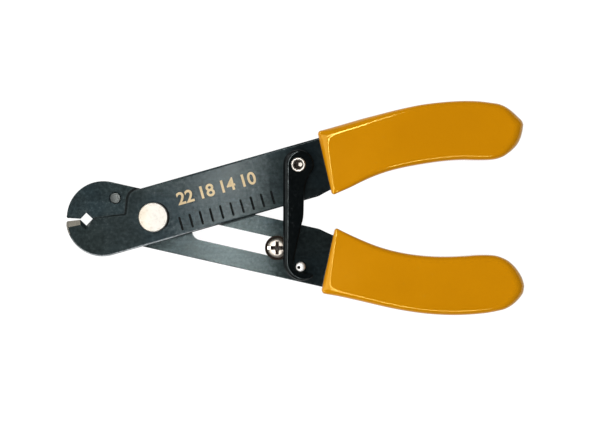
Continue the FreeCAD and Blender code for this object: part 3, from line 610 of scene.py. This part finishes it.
upper = make_grip("upper_grip_vinyl", UPPER_OUT, UPPER_IN,
                  [(47, 2.6), (58, 2.6), (64, 2.1), (70, 1.75), (75, 1.35), (82, 1.3), (98, 1.6)],
                  [(51, 0.7), (56, 1.1), (62, 1.6), (98, 1.5)], (0.5, 2.5), False, M_GRIP_U, 0.0)
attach(upper, "front_arm")
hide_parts("upper_grip")
lower = make_grip("lower_grip_vinyl", LOWER_OUT, LOWER_IN,
                  [(47, 1.9), (56, 1.7), (70, 1.6), (98, 1.5)],
                  [(51, 0.7), (56, 1.1), (62, 1.5), (98, 1.5)], (0.5, 2.0), True, M_GRIP_L, 11.0)
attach(lower, "back_arm")
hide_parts("lower_grip")


# --------------------------------------------------------------------------
# lock lever: flat hook with a broadly rounded back edge
# --------------------------------------------------------------------------
def sample(pts, n):
    return curve_points(pts, n, lambda t: t)


def make_lever(name, mat):
    ex, ey = EYE
    r, z0, z1 = 4.3, 7.46, 8.96
    turn = lambda a: (ex + r * math.cos(math.radians(a)), ey + r * math.sin(math.radians(a)))
    left = np.concatenate([
        np.array([turn(a) for a in np.linspace(90, 178.2, 34)])[:-1],
        sample([turn(178.2), (36.82, 2.8), (36.33, -13.0)], 70)[:-1],
        sample([(36.33, -13.0), (36.42, -14.4), (36.85, -15.85), (37.8, -17.25), (39.4, -18.47), (41.3, -19.02), (43.3, -18.78), (44.55, -18.05)], 44)[:-1],
        np.array([(44.55, -18.05), (44.63, -17.92), (44.67, -17.78)])])
    right = np.concatenate([
        np.array([turn(a) for a in np.linspace(90, -18, 34)])[:-1],
        sample([turn(-18), (44.25, 10.4), (43.2, 7.6), (42.75, 3.5), (42.45, -1.0), (41.7, -3.9), (40.75, -7.6), (39.95, -10.8), (39.5, -12.7)], 70)[:-1],
        sample([(39.5, -12.7), (39.42, -14.2), (39.6, -15.5), (40.2, -16.35), (41.2, -16.75), (42.6, -16.98), (44.2, -17.42)], 44)[:-1],
        np.array([(44.2, -17.42), (44.50, -17.55), (44.67, -17.78)])])
    n, m = len(left), 40
    q = np.linspace(0, 1, m)
    v = q - 0.90 * np.sin(2 * np.pi * q) / (2 * np.pi)
    xy = left[:, None, :] * (1 - v)[None, :, None] + right[:, None, :] * v[None, :, None]
    rad_l = np.interp(np.arange(n), [0, 20, 102, 118, 138, n - 1], [0.8, 1.35, 1.35, 1.1, 0.45, 0.3])
    rad_r = np.interp(np.arange(n), [0, 20, 102, 110, n - 1], [0.8, 0.5, 0.5, 0.35, 0.3])
    rim = np.concatenate([left, right[-2:0:-1]])
    rad = np.concatenate([rad_l, rad_r[-2:0:-1]])
    d, fall = edge_fall(xy.reshape(-1, 2), rim, rad, 0.4)
    verts = [(float(x), float(y), z1 - float(f)) for (x, y), f in zip(xy.reshape(-1, 2), fall)]
    count = n * m
    verts += [(x, y, z0) for x, y, z in verts]
    faces = []
    for i in range(n - 1):
        for j in range(m - 1):
            a, b, c, e = i * m + j, i * m + j + 1, (i + 1) * m + j + 1, (i + 1) * m + j
            faces.append((a, e, c, b))
            faces.append((a + count, b + count, c + count, e + count))
    loop = [i * m for i in range(n)] + [i * m + m - 1 for i in range(n - 2, 0, -1)]
    for k in range(len(loop)):
        a, b = loop[k], loop[(k + 1) % len(loop)]
        faces.append((a, b, b + count, a + count))
    o = add_mesh(name, verts, faces, mat, 50)
    # hole for the tubular rivet
    bm = bmesh.new()
    bmesh.ops.create_cone(bm, cap_ends=True, segments=56, radius1=1.75 * MM, radius2=1.75 * MM, depth=0.02,
                          matrix=Matrix.Translation((ex * MM, ey * MM, 0.008)))
    cut_me = bpy.data.meshes.new("bore")
    bm.to_mesh(cut_me)
    bm.free()
    cut = bpy.data.objects.new("bore", cut_me)
    bpy.context.scene.collection.objects.link(cut)
    mod = o.modifiers.new("bore", "BOOLEAN")
    mod.operation = "DIFFERENCE"
    mod.solver = "EXACT"
    mod.object = cut
    bpy.context.view_layer.update()
    done = bpy.data.meshes.new_from_object(o.evaluated_get(bpy.context.evaluated_depsgraph_get()))
    o.modifiers.clear()
    o.data = done
    bpy.data.objects.remove(cut)
    done.materials.clear()
    done.materials.append(mat)
    for p in done.polygons:
        p.use_smooth = True
        p.material_index = 0
    done.set_sharp_from_angle(angle=math.radians(50))
    return o


lever = make_lever("lock_lever_hook", M_LEVER)
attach(lever, "lock_lever")
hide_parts("lock_lever")


# --------------------------------------------------------------------------
# return spring: round wire, two turns about the rivet, one leg on each arm
# --------------------------------------------------------------------------
def tube(name, path, r, mat, seg=14):
    P = [Vector(p) for p in path]
    n = len(P)
    T = [(P[min(i + 1, n - 1)] - P[max(i - 1, 0)]).normalized() for i in range(n)]
    ref = Vector((0, 0, 1)) if abs(T[0].z) < 0.9 else Vector((1, 0, 0))
    u = T[0].cross(ref).normalized()
    verts, faces = [], []
    rows = []
    for i in range(n):
        u = (u - T[i] * u.dot(T[i])).normalized()
        w = T[i].cross(u)
        rows.append((P[i], u.copy(), w, r))
    cap0 = [(P[0] - T[0] * r * math.sin(a), rows[0][1], rows[0][2], r * math.cos(a)) for a in (1.35, 0.9, 0.45)]
    cap1 = [(P[-1] + T[-1] * r * math.sin(a), rows[-1][1], rows[-1][2], r * math.cos(a)) for a in (0.45, 0.9, 1.35)]
    rows = cap0 + rows + cap1
    for p, a, b, rad in rows:
        for k in range(seg):
            t = 2 * math.pi * k / seg
            verts.append(tuple(p + a * rad * math.cos(t) + b * rad * math.sin(t)))
    for i in range(len(rows) - 1):
        for k in range(seg):
            faces.append((i * seg + k, i * seg + (k + 1) % seg, (i + 1) * seg + (k + 1) % seg, (i + 1) * seg + k))
    faces.append(tuple(range(seg)))
    faces.append(tuple(range((len(rows) - 1) * seg, len(rows) * seg)))
    return add_mesh(name, verts, faces, mat, 50)


WIRE, COIL = 0.31, 3.2
jr, ja = math.hypot(*JAW), math.atan2(JAW[1], JAW[0])
da = ja + math.asin((1.575 - COIL) / jr)
dA = Vector((math.cos(da), math.sin(da), 0))
pA = Vector((-COIL * math.sin(da), COIL * math.cos(da), 0))
thA = math.atan2(pA.y, pA.x)
er, ea = math.hypot(*EYE), math.atan2(EYE[1], EYE[0])
thB = ea - math.acos(COIL / er)
dB = Vector((-math.sin(thB), math.cos(thB), 0))
pB = Vector((COIL * math.cos(thB), COIL * math.sin(thB), 0))
Z_A, Z_B = 2.375, 1.63
turn = (thB - thA) % (2 * math.pi) + 2 * math.pi
coil = []
steps = 96
for k in range(steps + 1):
    t = k / steps
    a = thA + turn * t
    coil.append(Vector((COIL * math.cos(a), COIL * math.sin(a), Z_A + (Z_B - Z_A) * t)))
leg_len = jr * math.cos(da - ja) + 2.5
legA = [pA + dA * leg_len * (1 - k / 20) + Vector((0, 0, Z_A)) for k in range(20)]
half = steps // 2
spring_back = tube("return_spring_back_leg", legA + coil[:half + 1], WIRE, M_WIRE)
end = Vector((EYE[0], EYE[1], 0))
run_b = (end - pB).length
legB = [pB + dB * run_b * (k / 40) + Vector((0, 0, Z_B)) for k in range(1, 39)]
bend = []
for k in range(7):
    t = math.radians(90 * k / 6)
    bend.append(end - dB * 0.9 * (1 - math.sin(t)) + Vector((0, 0, Z_B + 0.9 * (1 - math.cos(t)))))
hook = [end + Vector((0, 0, Z_B + 0.9 + 0.8 * k)) for k in range(1, 5)]
spring_front = tube("return_spring_front_leg", coil[half:] + legB + bend + hook, WIRE, M_WIRE)
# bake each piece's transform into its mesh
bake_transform(spring_back)
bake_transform(spring_front)
for s in (spring_back, spring_front):
    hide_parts("return_spring")


# --------------------------------------------------------------------------
# printed scale numbers above the grooves
# --------------------------------------------------------------------------
def number(text, x, y, height, name):
    cu = bpy.data.curves.new(name + "_c", "FONT")
    cu.body = text
    cu.align_x = "CENTER"
    cu.size = height * MM * 1.42
    cu.extrude = 0.00001
    cu.offset = 0.00010
    tmp = bpy.data.objects.new(name + "_t", cu)
    bpy.context.scene.collection.objects.link(tmp)
    bpy.context.view_layer.update()
    me = bpy.data.meshes.new_from_object(tmp.evaluated_get(bpy.context.evaluated_depsgraph_get()))
    bpy.data.objects.remove(tmp)
    p = arm_point(x, y)
    me.transform(Matrix.Translation((p[0] * MM, p[1] * MM, (Z_F1 + 0.012) * MM)) @ Matrix.Rotation(ARM, 4, "Z"))
    me.materials.clear()
    me.materials.append(M_INK)
    o = bpy.data.objects.new(name, me)
    bpy.context.scene.collection.objects.link(o)
    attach(o, "front_arm")
    return o


for i, t in enumerate(("22", "18", "14", "10")):
    number(t, 10.2 + 6.1 * i, 1.35, 3.45, "scale_number_" + t)

# --------------------------------------------------------------------------
# floor, light, camera
# --------------------------------------------------------------------------
fl = bpy.data.meshes.new("floor")
g = 1.2
fl.from_pydata([(-g, -g, 0), (g, -g, 0), (g, g, 0), (-g, g, 0)], [], [(0, 1, 2, 3)])
fl.materials.append(floor_paper("floor_paper"))
floor = bpy.data.objects.new("floor", fl)
floor.location = (0.04, 0, -0.00005)
bpy.context.scene.collection.objects.link(floor)

world = bpy.data.worlds.new("studio")
world.use_nodes = True
bg = world.node_tree.nodes["Background"]
bg.inputs["Color"].default_value = (0.93, 0.96, 1.0, 1)
bg.inputs["Strength"].default_value = 0.14
bpy.context.scene.world = world


def area(name, at, aim, size, power, colour=(1, 1, 1)):
    li = bpy.data.lights.new(name, "AREA")
    li.shape = "RECTANGLE"
    li.size, li.size_y = size
    li.energy = power
    li.color = colour
    o = bpy.data.objects.new(name, li)
    o.location = at
    d = Vector(aim) - Vector(at)
    o.rotation_euler = d.to_track_quat("-Z", "Y").to_euler()
    bpy.context.scene.collection.objects.link(o)
    return o


area("strip_top", (-0.011, 0.07, 0.72), (-0.011, 0.07, 0.0), (0.030, 0.70), 2.4, (1.0, 0.99, 0.975))
area("key_left", (-0.50, 0.03, 0.62), (0.02, 0.0, 0.0), (1.50, 0.85), 9.4, (1.0, 0.985, 0.96))
area("strip_near", (0.05, -0.40, 0.60), (0.06, -0.02, 0.0), (0.33, 0.05), 1.45)
area("strip_far", (-0.10, 0.36, 0.62), (0.06, 0.02, 0.0), (0.26, 0.045), 0.95)

cam = bpy.data.cameras.new("camera")
cam.lens = 100.0
cam.sensor_width = 36.0
cam.clip_start = 0.01
co = bpy.data.objects.new("camera", cam)
tilt = math.radians(-1.6)
co.location = (0.04153, 0.00004, 0.4795)
co.rotation_euler = (0, 0, tilt)
bpy.context.scene.collection.objects.link(co)
bpy.context.scene.camera = co
bpy.context.scene.view_settings.view_transform = "Standard"
